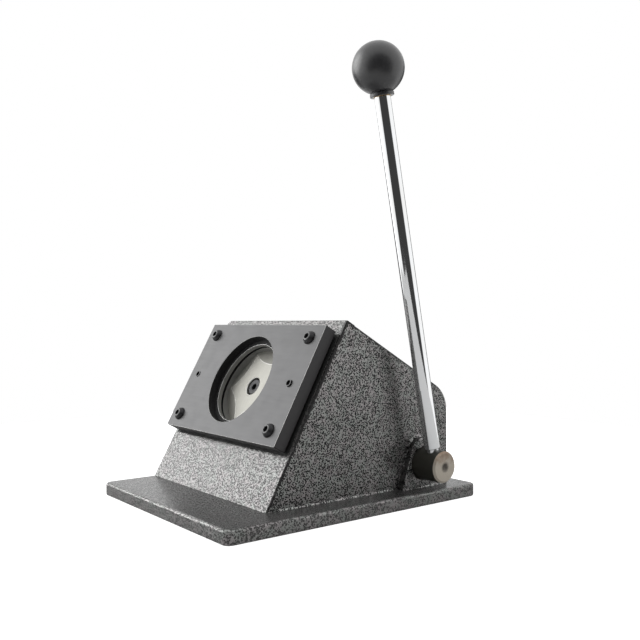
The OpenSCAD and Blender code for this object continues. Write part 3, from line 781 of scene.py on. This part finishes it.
def build_front_plate():
    """Front plate, cut at its foot to stand on the base plate."""
    low, high = span("front_plate", FACE)
    foot = (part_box("front_plate")[0].z - WINDOW.z) / UP_SLOPE.z
    outline = soften([
        (low.x, foot),
        (high.x, foot),
        (high.x, high.y, 0.8 * MM),
        (low.x + CORNER_CUT, high.y, 0.8 * MM),
        (low.x, high.y - CORNER_CUT, 0.8 * MM),
    ], 3)
    bore = span("punch", FACE)[1].x + CLEARANCE
    bm = bmesh.new()
    plate(bm, [
        (outline, rounded_ends(low.z, 0, 0, CORNER_ROUND, 5), lambda k: 2 if k == 0 else 0),
        (disc(bore), rounded_ends(low.z, 0, 0, 0.2 * MM, 2), lambda k: 1),
    ], FACE)
    inverse = FACE.inverted()
    for v in bm.verts:
        local = inverse @ v.co
        if local.y < foot + CORNER_ROUND + 0.1 * MM:
            local.y = foot - local.z * OUT.z / UP_SLOPE.z
            v.co = FACE @ local
    piece("front_panel", bm, "frame", ["paint_front", "die_bore", "paint_side"],
          ["front_plate"])


def build_die_shadow():
    """Thin near-black skin on the front plate around the die plate, with a ragged outline: a painted
    shadow of the die plate and its gap.
    """
    low, high = span("die_plate", FACE)
    bore = span("punch", FACE)[1].x + 0.3 * MM
    rng = random.Random(11)
    corners = [
        Vector((low.x, low.y - SHADOW_MARGIN)), Vector((high.x + SHADOW_MARGIN, low.y - SHADOW_MARGIN)),
        Vector((high.x + SHADOW_MARGIN, high.y - SHADOW_DROP)), Vector((low.x, high.y - SHADOW_DROP)),
    ]
    outline = []
    for start, end in zip(corners, corners[1:] + corners[:1]):
        count = int((end - start).length / SHADOW_RAGGED)
        for i in range(count):
            wander = Vector((rng.uniform(-0.5, 0.5), rng.uniform(-0.5, 0.5))) * SHADOW_RAGGED
            outline.append(start.lerp(end, i / count) + wander)
    bm = bmesh.new()
    levels = [(0, 0.02 * MM), (0, 0.1 * MM)]
    plate(bm, [(outline, levels), (disc(bore), levels)], FACE)
    # This skin is a painted shadow of the die plate.
    piece("die_shadow_skin", bm, "frame", ["seat"])


def side_profile(front_in, roof_in, steps=20):
    """Outline of the body in Y and Z from the shaft, set in from the front and the roof."""
    low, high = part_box("front_plate")
    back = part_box("roof_plate")[1].y
    cos, sin = UP_SLOPE.y, UP_SLOPE.z
    apex = Vector((low.y + (high.z - low.z) * cos / sin, high.z))
    bend = Vector((back - BEND_OUTER, 0))
    bend.y = apex.y - (bend.x - apex.x) * cos / sin - BEND_OUTER / sin
    arc = BEND_OUTER - roof_in
    angles = [math.atan2(sin, cos) * i / steps for i in range(steps, -1, -1)]
    points = [Vector((low.y + front_in / sin, low.z)), Vector((bend.x + arc, low.z))]
    points += [bend + arc * Vector((math.cos(a), math.sin(a))) for a in reversed(angles)]
    top = apex + front_in * Vector((sin, -cos)) - roof_in * Vector((cos, sin))
    points.append(top)
    return [p - Vector((SHAFT.y, SHAFT.z)) for p in points]


def build_side(name, node_name):
    """Side plate. Its outer edges stay square, because the welded corners lie flush."""
    low, high = span(node_name, ALONG_X)
    outline = side_profile(-span("front_plate", FACE)[0].z, ROOF_THICK)
    wall = [(0, low.z), (0, high.z)]
    bm = bmesh.new()
    plate(bm, [(outline, wall), (disc(BUSH_SEAT), wall)], ALONG_X)
    piece(name, bm, "frame", ["paint_side"], [node_name])


def build_roof():
    """Roof and back, bent from one plate, as a ring of quads between two outlines."""
    low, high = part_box("roof_plate")
    thick = -span("front_plate", FACE)[0].z
    outer = side_profile(thick, 0)
    inner = side_profile(thick, ROOF_THICK)
    bm = bmesh.new()
    profile = rounded_ends(low.x, high.x, ROOF_ROUND, ROOF_ROUND, 4)
    rings = []
    count = len(outer) - 1
    for distance, x in profile:
        moved = [p - distance * outward(outer, i + 1) for i, p in enumerate(outer[1:])]
        points = moved + list(reversed(inner[1:]))
        rings.append([bm.verts.new(ALONG_X @ Vector((p.x, p.y, x))) for p in points])
    for one, two in zip(rings, rings[1:]):
        bridge(bm, one, two)
    for ring in (rings[0], rings[-1]):
        for i in range(count - 1):
            bm.faces.new((ring[i], ring[i + 1], ring[-2 - i], ring[-1 - i]))
    piece("roof_panel", bm, "frame", ["paint_side"], ["roof_plate"])


def outward(points, i):
    """Unit normal of an outline at a point, pointing away from the material."""
    ahead = points[min(i + 1, len(points) - 1)] - points[i]
    behind = points[i] - points[i - 1]
    if i == len(points) - 1:
        ahead = behind
    if i == 1:
        behind = ahead
    normal = Vector((ahead.y, -ahead.x)).normalized() + Vector((behind.y, -behind.x)).normalized()
    return normal.normalized()


def bearing_shape(steps=36):
    """Round top above the shaft, and straight flanks down to the wider foot."""
    low, high = span("bearing_plate", ALONG_X)
    centre = Vector((0, high.y - BEARING_RADIUS))
    reach = Vector((low.x, low.y)) - centre
    angle = math.atan2(-reach.y, -reach.x) + math.pi - math.acos(BEARING_RADIUS / reach.length)
    sweep = 2 * (angle - TAU / 4)
    points = [Vector((-low.x, low.y))]
    for i in range(steps, -1, -1):
        a = angle - sweep * i / steps
        points.append(centre + BEARING_RADIUS * Vector((math.cos(a), math.sin(a))))
    points.append(Vector((low.x, low.y)))
    return points, centre, angle


def build_bearing():
    low, high = span("bearing_plate", ALONG_X)
    points = bearing_shape()[0]
    shaft_r = span("main_shaft", ALONG_X)[1].y
    bm = bmesh.new()
    # The flank wall of the outline takes the dark copy of the paint, a painted shade.
    plate(bm, [
        (points, rounded_ends(low.z, high.z, 0, BEARING_EDGE, 3), lambda k: 0 if k else 1),
        (disc(shaft_r + 0.5 * MM), rounded_ends(low.z, high.z, 0, 0.4 * MM, 2)),
    ], ALONG_X)
    piece("bearing_block", bm, "frame", ["paint_side", "paint_shaded"],
          ["bearing_plate"])


# ---------------------------------------------------------------- welds

def bead(bm, path, outs, ups, size, rng):
    """A lumpy fillet weld along a path. outs and ups point away from the two joined faces."""
    rings = []
    run = 0.0
    phase = rng.uniform(0, TAU)
    for i, point in enumerate(path):
        if i:
            run += (point - path[i - 1]).length
        ease = min(1.0, 0.35 + 0.65 * min(i, len(path) - 1 - i) / 5)
        wave = 0.5 + 0.5 * math.sin(TAU * run / WELD_RIPPLE + phase)
        swell = 0.6 + 0.14 * math.sin(run / (2.3 * MM) + phase) + 0.1 * math.sin(run / (0.9 * MM))
        ring = [bm.verts.new(point)]
        for k in range(WELD_STEPS + 1):
            a = TAU / 4 * k / WELD_STEPS
            ripple = 1 - 0.22 * (1 - wave) * math.sin(2 * a)
            reach = size * ease * min(1.0, swell + rng.uniform(-0.015, 0.015)) * ripple
            ring.append(bm.verts.new(point + reach * (math.cos(a) * outs[i] + math.sin(a) * ups[i])))
        rings.append(ring)
    for low, high in zip(rings, rings[1:]):
        bridge(bm, low, high)
    bm.faces.new(list(reversed(rings[0])))
    bm.faces.new(rings[-1])


def straight(start, end):
    count = max(8, int((end - start).length / (WELD_RIPPLE / 8)))
    return [start.lerp(end, i / count) for i in range(count + 1)]


def build_welds():
    rng = random.Random(7)
    side_x = span("right_side_plate")[1].x
    bear_low, bear_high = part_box("bearing_plate")
    foot_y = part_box("right_side_plate")[0].y
    top = bear_low.z
    bm = bmesh.new()

    def foot_bead(x, y0, y1):
        path = straight(Vector((x, y0, top)), Vector((x, y1, top)))
        bead(bm, path, [RIGHT] * len(path), [Vector((0, 0, 1))] * len(path), FOOT_LEG, rng)

    foot_bead(side_x, foot_y, bear_low.y - WELD_LEG)
    foot_bead(bear_high.x, bear_low.y, bear_high.y)
    middle, angle = bearing_shape()[1:]
    centre = ALONG_X @ Vector((middle.x, middle.y, side_x))

    def arc_bead(mesh, start, end):
        count = int(BEARING_RADIUS * (end - start) / (WELD_RIPPLE / 8))
        angles = [start + (end - start) * i / count for i in range(count + 1)]
        outs = [Vector((0, math.cos(a), math.sin(a))) for a in angles]
        arc = [centre + BEARING_RADIUS * out for out in outs]
        bead(mesh, arc, outs, [RIGHT] * len(arc), WELD_LEG, rng)
        return arc[-1], outs[-1]

    # The upper arc takes the lighter weld paint, a painted highlight; the rest of the arc and the
    # flank bead take the dark paint, a painted shade.
    lit_end = min(math.radians(WELD_LIT_END), angle - 0.1)
    arc_bead(bm, math.radians(WELD_START), lit_end)
    piece("welds", bm, "frame", ["paint_lit_weld"], ["weld_beads"], 60)
    bm = bmesh.new()
    end, out = arc_bead(bm, lit_end + 0.02, angle)
    foot = Vector((side_x, bear_low.y, bear_low.z))
    path = straight(end, end.lerp(foot, 0.5))
    bead(bm, path, [out] * len(path), [RIGHT] * len(path), WELD_LEG, rng)
    # These beads take the dark copy of the paint, a painted shade.
    piece("flank_welds", bm, "frame", ["paint_shaded"], (), 60)


# ---------------------------------------------------------------- die plate

def build_die_plate():
    low, high = span("die_plate", FACE)
    bore = span("punch", FACE)[1].x + CLEARANCE
    ledge = high.z - DIE_RELIEF_DEPTH
    outline = [Vector((low.x, low.y)), Vector((high.x, low.y)), Vector((high.x, high.y)),
               Vector((low.x, high.y))]
    outline = soften([(p.x, p.y, 0.6 * MM) for p in outline], 3)
    edge = LEDGE_EDGE
    step = DIE_RELIEF - bore
    window = [
        (0, low.z), (0, ledge - edge), (edge * 0.3, ledge - edge * 0.3), (edge, ledge),
        (step - edge, ledge), (step, ledge), (step, high.z - DIE_EDGE), (step + DIE_EDGE, high.z),
    ]
    # Mark 4 paints the ledge and the relief wall near black as painted shade.
    window_marks = [2, 5, 5, 4, 4, 4, 3]
    rim = rounded_ends(low.z, high.z, DIE_EDGE, DIE_EDGE, 2)
    loops = [
        (outline, rim, lambda k: 3 if k >= len(rim) - 3 else 1),
        (disc(bore, steps=144), window, lambda k: window_marks[k]),
    ]
    for hole_low, hole_high in islands("die_screws", FACE):
        x, s = (hole_low.x + hole_high.x) / 2, (hole_low.y + hole_high.y) / 2
        loops.append((disc(SCREW_HOLE, x, s, 48), [(0, low.z), (0, high.z)], lambda k: 1))
    # Mark 4 paints the outer sides of the guide rims near black as painted shade.
    rim_marks = [1, 0, 4]
    for x, rise in zip((-GUIDE_SPAN / 2, GUIDE_SPAN / 2), GUIDE_RISE):
        top = high.z + rise
        walls = [(0, low.z), (0, top), (GUIDE_RIM, top), (GUIDE_RIM, high.z)]
        loops.append((disc(GUIDE_RADIUS, x, 0, 32), walls, lambda k: rim_marks[k]))
    bm = bmesh.new()
    plate(bm, loops, FACE, marks=(1, 0))
    piece("die_block", bm, "frame",
          ["die_face", "die_black", "die_bore", "die_rim", "ledge_painted_shade", "cutting_edge"],
          ["die_plate"])


def hex_radius(size, a):
    """Distance from the centre to the side of a hexagon, at an angle."""
    return size * math.cos(math.pi / 6) / math.cos((a % (math.pi / 3)) - math.pi / 6)


def socket_screw(bm, local, head_r, head_h, grip):
    """Socket cap screw with a knurled head, its underside at height 0."""
    teeth = 40
    socket = head_r * 0.42
    chamfer = head_r * 0.12
    shank = head_r * 0.6

    def profile(a):
        knurl = head_r * (1 - 0.022 * (0.5 + 0.5 * math.cos(teeth * a)))
        hexagon = hex_radius(socket, a)
        deep = hexagon * 0.94
        points = [(0, -grip), (shank - 0.5 * MM, -grip), (shank, 0.5 * MM - grip), (shank, 0)]
        points += [(head_r * 0.97, 0), (knurl, 0.25 * MM), (knurl, head_h - chamfer * 1.1)]
        points += [(head_r * 0.985, head_h - chamfer), (head_r * 0.95, head_h - chamfer * 0.35)]
        points += [(head_r - chamfer, head_h), (socket * 1.12, head_h)]
        points += [(hexagon, head_h - 0.25 * MM), (hexagon * 0.98, head_h * 0.5)]
        points += [(deep * 0.5, head_h * 0.46), (0, head_h * 0.4)]
        return points

    turn(bm, profile, local, 240)


def button_screw(bm, local, head_r, head_h, grip):
    """Button head screw: a dome down from a small worn flat about the hexagon socket."""
    flat_r = head_r * 0.53
    edge = head_h * 0.14
    socket = head_r * 0.44
    shank = head_r * 0.571
    rise = head_h - edge
    centre = (flat_r ** 2 + head_h ** 2 - head_r ** 2 - edge ** 2) / (2 * rise)
    dome = math.hypot(head_r, edge - centre)
    start = math.atan2(edge - centre, head_r)
    end = math.atan2(head_h - 0.12 * MM - centre, flat_r + 0.1 * MM)
    arc = [start + (end - start) * k / 8 for k in range(9)]

    def profile(a):
        hexagon = hex_radius(socket, a)
        points = [(0, -grip), (shank - 0.5 * MM, -grip), (shank, 0.5 * MM - grip), (shank, 0)]
        points += [(head_r - 0.15 * MM, 0), (head_r, 0.15 * MM)]
        points += [(dome * math.cos(t), centre + dome * math.sin(t)) for t in arc]
        points += [(flat_r - 0.1 * MM, head_h), (socket * 1.1, head_h)]
        points += [(hexagon, head_h - 0.22 * MM), (hexagon * 0.97, head_h * 0.42)]
        points += [(hexagon * 0.4, head_h * 0.34), (0, head_h * 0.3)]
        return points

    bright_from = 6 + len(arc) - 2
    turn(bm, profile, local, 144, lambda k: 1 if bright_from <= k <= bright_from + 2 else 0)


def build_screws():
    bm = bmesh.new()
    rng = random.Random(3)
    for low, high in islands("die_screws", FACE):
        head_r = (high.x - low.x) / 2
        head_h = head_r * HEAD_SHARE
        centre = Vector(((low.x + high.x) / 2, (low.y + high.y) / 2, high.z - head_h))
        spun = FACE @ Matrix.Translation(centre) @ Matrix.Rotation(rng.uniform(0, 1), 4, "Z")
        button_screw(bm, spun, head_r, head_h, high.z - head_h - low.z)
    piece("die_button_screws", bm, "frame", ["black_oxide", "worn_oxide"],
          ["die_screws"], 28)
    bm = bmesh.new()
    low, high = span("punch_screw", FACE)
    head_r = (high.x - low.x) / 2
    head_h = head_r * 1.2
    local = FACE @ Matrix.Translation(Vector((0, 0, high.z - head_h)))
    socket_screw(bm, local @ Matrix.Rotation(0.4, 4, "Z"), head_r, head_h, high.z - head_h - low.z)
    piece("punch_cap_screw", bm, "ram", ["black_oxide"], ["punch_screw"], 28)


# ---------------------------------------------------------------- punch

def scallop_height(radius, a):
    """Depth of the nearest scallop below the punch face, and where along the angle it begins."""
    pitch = TAU / SCALLOP_COUNT
    turned = (a - math.radians(SCALLOP_TURN) + pitch / 2) % pitch - pitch / 2
    x = radius * math.cos(turned)
    y = radius * math.sin(turned)
    tilt = math.radians(SCALLOP_TILT)
    sag = SCALLOP_RADIUS - math.sqrt(SCALLOP_RADIUS ** 2 - y * y)
    return (sag - (x - SCALLOP_START) * math.sin(tilt)) / math.cos(tilt)


def scallop_edge(a, limit):
    """Radius at which the scallop cuts the flat face, found by halving."""
    low, high = SCALLOP_START * 0.9, limit
    for _ in range(30):
        middle = (low + high) / 2
        if scallop_height(middle, a) > 0:
            low = middle
        else:
            high = middle
    return high


def build_punch():
    low, high = span("punch", FACE)
    radius = high.x
    face = high.z
    rim = 0.25 * MM
    rows = 10

    def profile(a):
        crease = scallop_edge(a, radius - rim)
        sink = face - SCREW_SINK
        points = [(PUNCH_BORE, low.z), (PUNCH_BORE, sink), (SINK_RADIUS, sink)]
        points += [(SINK_RADIUS, face - 0.3 * MM), (SINK_RADIUS + 0.3 * MM, face)]
        points += [((SINK_RADIUS + crease) / 2, face), (crease - CREASE, face), (crease, face)]
        for k in range(1, rows + 1):
            r = crease + (radius - rim - crease) * k / rows
            points.append((r, face + min(0.0, scallop_height(r, a))))
        edge = face + min(0.0, scallop_height(radius - rim, a))
        points += [(radius, edge - rim), (radius, low.z + 0.5 * MM), (radius - 0.5 * MM, low.z)]
        points.append((PUNCH_BORE, low.z))
        return points

    bm = bmesh.new()
    turn(bm, profile, FACE, 60 * SCALLOP_COUNT, lambda k: 1 if k in (3, 6, 6 + rows + 1) else 0)
    piece("punch_body", bm, "ram", ["punch_face", "cutting_edge"], ["punch"], 9)


# ---------------------------------------------------------------- shaft, lever and knob

def build_shaft():
    low, high = span("main_shaft", ALONG_X)
    r = high.y
    end = high.z
    profile = [
        (0, low.z), (r - 1 * MM, low.z), (r, low.z + 1 * MM), (r, end - SHAFT_CHAMFER - 0.2 * MM),
        (r - 0.06 * MM, end - SHAFT_CHAMFER), (r - SHAFT_CHAMFER + 0.1 * MM, end - 0.08 * MM),
        (r - SHAFT_CHAMFER - 0.1 * MM, end), (CENTRE_HOLE + 0.3 * MM, end),
        (CENTRE_HOLE, end - 0.3 * MM), (CENTRE_HOLE * 0.5, end - CENTRE_DEPTH * 0.8),
        (CENTRE_HOLE * 0.35, end - CENTRE_DEPTH), (0, end - CENTRE_DEPTH),
    ]
    marks = [0, 0, 0, 0, 1, 1, 1, 1, 1, 1, 1]
    bm = bmesh.new()
    turn(bm, profile, ALONG_X, 128, lambda k: marks[k])
    piece("cam_shaft", bm, "lever", ["shaft", "shaft_end"], ["main_shaft"])


def lever_frame():
    """Local frame at the shaft, with Z along the lever, and the distance to the knob's centre."""
    low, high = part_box("ball_knob")
    radius = (high.x - low.x) / 2
    centre = Vector(((low.x + high.x) / 2, (low.y + high.y) / 2, high.z - radius))
    origin = Vector((centre.x, SHAFT.y, SHAFT.z))
    axis = (centre - origin).normalized()
    return place(origin, RIGHT, axis.cross(RIGHT), axis), (centre - origin).length, radius


def build_rod():
    local = lever_frame()[0]
    low, high = span("lever_rod", local)
    r = high.x
    top = span("ball_knob", local)[0].z
    profile = [
        (0, low.z), (THREAD_RADIUS, low.z), (THREAD_RADIUS, THREAD_END), (NECK_RADIUS, THREAD_END),
        (NECK_RADIUS, ROD_FOOT - 0.5 * MM), (NECK_RADIUS + 0.3 * MM, ROD_FOOT - 0.1 * MM),
        (r - ROD_EDGE * 1.4, ROD_FOOT), (r - ROD_EDGE * 0.4, ROD_FOOT + ROD_EDGE * 0.4),
        (r, ROD_FOOT + ROD_EDGE * 1.4), (r, top - 0.4 * MM), (r - 0.4 * MM, top),
        (THREAD_RADIUS, top), (THREAD_RADIUS, high.z), (0, high.z),
    ]
    bm = bmesh.new()
    turn(bm, profile, local, 96)
    piece("lever_bar", bm, "lever", ["chrome"], ["lever_rod"])


def build_knob():
    local, reach, r = lever_frame()
    foot = span("ball_knob", local)[0].z
    collar = COLLAR_RADIUS
    bore = span("knob_insert", local)[1].x + CLEARANCE
    top = foot + COLLAR_HEIGHT
    profile = [(bore, foot + KNOB_BORE_DEPTH), (bore, foot), (collar - 0.35 * MM, foot)]
    profile += [(collar, foot + 0.35 * MM), (collar, top - 0.4 * MM), (collar - 0.4 * MM, top)]
    start = math.asin((collar - 0.5 * MM) / r)
    steps = 48
    for k in range(steps + 1):
        a = start + (math.pi - start) * k / steps
        profile.append((max(0.0, r * math.sin(a)), reach - r * math.cos(a)))
    profile[-1] = (0, reach + r)
    bm = bmesh.new()
    turn(bm, profile, local, 128)
    piece("knob_ball", bm, "lever", ["knob"], ["ball_knob"], 40)


# ---------------------------------------------------------------- springs and plain inner parts

def build_spring(side):
    """Compression spring with closed ground ends, built at the length of its CAD node."""
    name = side + "_return_spring"
    low, high = span(name, FACE)
    wire = SPRING_WIRE
    coil = 1.9 * wire
    centre = (low + high) / 2
    radius = (high.x - low.x) / 2 - wire
    length = high.z - low.z
    turns = SPRING_TURNS
    steps = int(turns * 40)
    closed = SPRING_CLOSED

    def rise(t):
        """Height along the spring: low for the closed coils at both ends, steady between."""
        done = t * turns
        body = turns - 2 * closed
        free = length - 2 * wire - 2 * closed * coil
        if done < closed:
            return done * coil
        if done > turns - closed:
            return length - 2 * wire - (turns - done) * coil
        return closed * coil + free * (done - closed) / body

    points = []
    for i in range(steps + 1):
        t = i / steps
        a = TAU * turns * t
        local = Vector((
            centre.x + radius * math.cos(a),
            centre.y + radius * math.sin(a),
            low.z + wire + rise(t),
        ))
        points.append(FACE @ local)
    bm = bmesh.new()
    tube(bm, points, wire, 12)
    made = piece(side + "_spring_coil", bm, "frame", ["spring"], [name], 50)
    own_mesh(made)


REFINED = {
    "bottom_cover": ("frame", "zinc_steel", "zinc", 0.25),
    "bottom_cover_screws": ("frame", "zinc_steel", "zinc", 0.1),
    "gap_washers": ("frame", "zinc_steel", "zinc", 0.15),
    "die_dowels": ("frame", "bright_steel", "bright", 0.3),
    "left_bush": ("frame", "bronze_bush", "bronze", 0.3),
    "right_bush": ("frame", "bronze_bush", "bronze", 0.3),
    "stop_pins": ("frame", "bright_steel", "bright", 0.4),
    "guide_posts": ("frame", "bright_steel", "bright", 0.4),
    "post_washers": ("frame", "zinc_steel", "zinc", 0.2),
    "post_nuts": ("frame", "zinc_steel", "zinc", 0.3),
    "cam": ("lever", "bright_steel", "bright", 0.3),
    "cam_key": ("lever", "bright_steel", "bright", 0.2),
    "locating_collar": ("lever", "zinc_steel", "zinc", 0.4),
    "stop_collar": ("lever", "zinc_steel", "zinc", 0.4),
    "collar_set_screws": ("lever", "black_oxide", "black_oxide", 0.1),
    "knob_insert": ("lever", "brass_insert", "brass", 0.2),
    "ram": ("ram", "bright_steel", "bright", 0.5),
    "ram_bushes": ("ram", "bronze_bush", "bronze", 0.3),
    "punch_dowels": ("ram", "bright_steel", "bright", 0.3),
    "roller_pin": ("ram", "bright_steel", "bright", 0.3),
    "roller_clips": ("ram", "black_oxide", "black_oxide", 0.1),
    "roller": ("roller", "ground_steel", "punch_face", 0.3),
}


def build_refined(name, body, slot_name, look, edge):
    """A copy of a CAD node with its edges broken, as deburring leaves them."""
    bm = bmesh.new()
    bm.from_mesh(frame["nodes"][name].data)
    bmesh.ops.remove_doubles(bm, verts=bm.verts, dist=2e-6)
    flat = math.radians(0.5)
    bmesh.ops.dissolve_limit(bm, angle_limit=flat, verts=bm.verts, edges=bm.edges)
    corners = [
        e for e in bm.edges
        if len(e.link_faces) == 2 and e.calc_face_angle() > math.radians(40)
    ]
    bmesh.ops.bevel(
        bm, geom=corners, offset=edge * MM, segments=2, profile=0.6, affect="EDGES",
        clamp_overlap=True, loop_slide=False,
    )
    bmesh.ops.triangulate(bm, faces=[f for f in bm.faces if len(f.verts) > 4])
    piece(name + "_part", bm, body, [look], [name], 30)


bpy.context.scene.view_settings.view_transform = "Standard"
LOOKS = make_materials()
add_camera()
add_room()
add_floor()
build_base()
build_front_plate()
build_die_shadow()
build_side("left_panel", "left_side_plate")
build_side("right_panel", "right_side_plate")
build_roof()
build_bearing()
build_welds()
build_die_plate()
build_screws()
build_punch()
build_shaft()
build_rod()
build_knob()
build_spring("left")
build_spring("right")
for part, facts in REFINED.items():
    build_refined(part, *facts)
